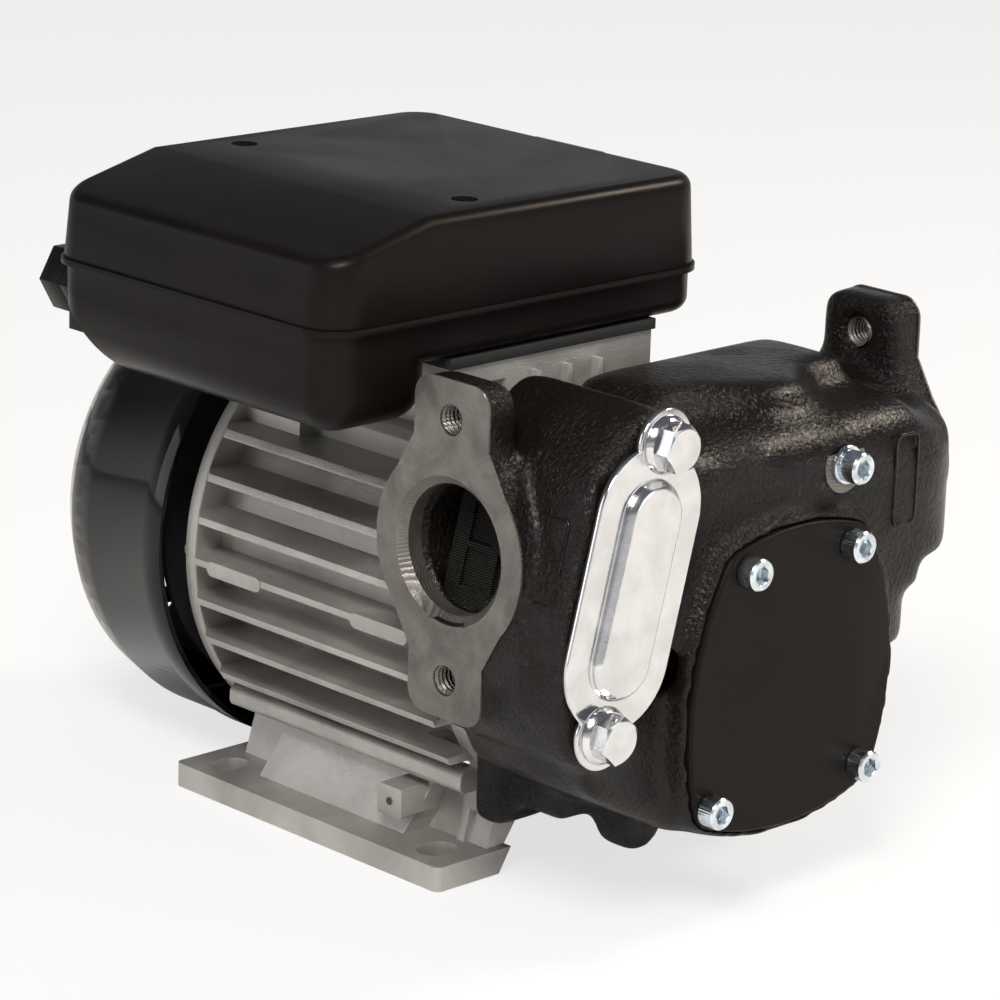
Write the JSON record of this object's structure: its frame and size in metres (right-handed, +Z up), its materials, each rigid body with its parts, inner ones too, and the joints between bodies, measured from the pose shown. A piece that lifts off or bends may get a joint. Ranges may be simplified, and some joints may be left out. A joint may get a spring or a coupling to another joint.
{
  "type": "diesel transfer pump",
  "caption": "Foot-mounted electric vane pump for moving diesel, with side port flanges, a bolted strainer cover, a finned motor, a fan cowl and a terminal box on top.",
  "frame": {"origin": "middle of the rectangle of the four foot slots, on the floor the feet stand on", "axes": "+X across the pump towards the outlet flange, +Y along the motor shaft from the pump cover towards the fan, +Z up"},
  "size_m": [0.2168, 0.278, 0.213],
  "materials": {
    "pump_paint": "semi-gloss black paint over cast iron",
    "motor_casting": "bare die-cast aluminium, satin",
    "lamination_steel": "stacked sheet steel, dull",
    "winding_copper": "varnished copper wire",
    "bearing_steel": "polished bearing steel",
    "shaft_steel": "ground steel",
    "spring_steel": "spring steel",
    "fan_plastic": "moulded, matt",
    "cowl_plastic": "moulded, glossy black",
    "box_plastic": "moulded, satin black",
    "seal_rubber": "black rubber",
    "gasket_sheet": "gasket sheet",
    "terminal_plastic": "ivory moulding",
    "capacitor_can": "white can",
    "switch_plastic": "black moulding",
    "rocker_plastic": "black, polished",
    "zinc_screws": "bright zinc plating",
    "zinc_cover": "pressed steel, bright zinc plating",
    "strainer_steel": "stainless sheet",
    "sintered_rotor": "sintered steel",
    "vane_acetal": "natural acetal",
    "brass_cap": "turned brass"
  },
  "bodies": {
    "base": {"motor_housing": "motor_casting", "stator_core": "lamination_steel", "stator_windings": "winding_copper", "front_bearing_outer": "bearing_steel", "rear_bearing_outer": "bearing_steel", "wave_washer": "spring_steel", "rear_end_shield": "motor_casting", "fan_cowl": "cowl_plastic", "box_gasket": "seal_rubber", "box_tray": "box_plastic", "box_lid": "box_plastic", "terminal_block": "terminal_plastic", "capacitor": "capacitor_can", "capacitor_clip": "spring_steel", "switch_body": "switch_plastic", "gland_body": "box_plastic", "gland_nut": "box_plastic", "gland_seal": "seal_rubber", "pump_body": "pump_paint", "mount_screws": "zinc_screws", "long_screw": "zinc_screws", "long_washer": "zinc_screws", "pump_cover": "pump_paint", "cover_o_ring": "seal_rubber", "cover_screws": "zinc_screws", "filter_gasket": "gasket_sheet", "filter_cover": "zinc_cover", "filter_bolts": "zinc_screws", "strainer": "strainer_steel", "shaft_seal": "seal_rubber", "bypass_spring": "spring_steel", "bypass_cap": "brass_cap"},
    "spindle": {"motor_shaft": "shaft_steel", "rotor_core": "lamination_steel", "front_bearing_inner": "bearing_steel", "rear_bearing_inner": "bearing_steel", "fan": "fan_plastic", "fan_clip": "spring_steel", "pump_rotor": "sintered_rotor", "shaft_key": "shaft_steel"},
    "front_balls": {"front_bearing_balls": "bearing_steel"},
    "rear_balls": {"rear_bearing_balls": "bearing_steel"},
    "bypass_valve": {"bypass_poppet": "shaft_steel"},
    "rocker": {"switch_rocker": "rocker_plastic"},
    "vane_1_body": {"vane_1": "vane_acetal"},
    "vane_2_body": {"vane_2": "vane_acetal"},
    "vane_3_body": {"vane_3": "vane_acetal"},
    "vane_4_body": {"vane_4": "vane_acetal"},
    "vane_5_body": {"vane_5": "vane_acetal"}
  },
  "joints": [
    {"name": "rotor_spin", "type": "hinge", "parent": "base", "child": "spindle", "pos_m": [0, 0, 0.08], "axis": [0, 1, 0], "continuous": true},
    {"name": "front_cage_spin", "type": "hinge", "parent": "base", "child": "front_balls", "pos_m": [0, 0, 0.08], "axis": [0, 1, 0], "continuous": true},
    {"name": "rear_cage_spin", "type": "hinge", "parent": "base", "child": "rear_balls", "pos_m": [0, 0, 0.08], "axis": [0, 1, 0], "continuous": true},
    {"name": "vane_1_slide", "type": "slide", "parent": "spindle", "child": "vane_1_body", "axis": [0, 0, 1], "range_m": [-0.0044, 0]},
    {"name": "vane_2_slide", "type": "slide", "parent": "spindle", "child": "vane_2_body", "axis": [-0.9511, 0, -0.309], "range_m": [0, 0.003]},
    {"name": "vane_3_slide", "type": "slide", "parent": "spindle", "child": "vane_3_body", "axis": [-0.5878, 0, 0.809], "range_m": [0, 0.001]},
    {"name": "vane_4_slide", "type": "slide", "parent": "spindle", "child": "vane_4_body", "axis": [0.5878, 0, 0.809], "range_m": [0, 0.001]},
    {"name": "vane_5_slide", "type": "slide", "parent": "spindle", "child": "vane_5_body", "axis": [-0.9511, 0, 0.309], "range_m": [-0.0055, 0]},
    {"name": "bypass_lift", "type": "slide", "parent": "base", "child": "bypass_valve", "axis": [0, 0, -1], "range_m": [0, 0.005], "stiffness_N_per_m": 2000, "springref_m": -0.003, "deforming": ["bypass_spring"]},
    {"name": "switch_rock", "type": "hinge", "parent": "base", "child": "rocker", "pos_m": [0.0365, 0.005, 0.19875], "axis": [0, 0, 1], "range_deg": [0, 10]}
  ],
  "couplings": [
    {"joint": "front_cage_spin", "follows": "rotor_spin", "ratio": 0.3952},
    {"joint": "rear_cage_spin", "follows": "rotor_spin", "ratio": 0.3951}
  ]
}
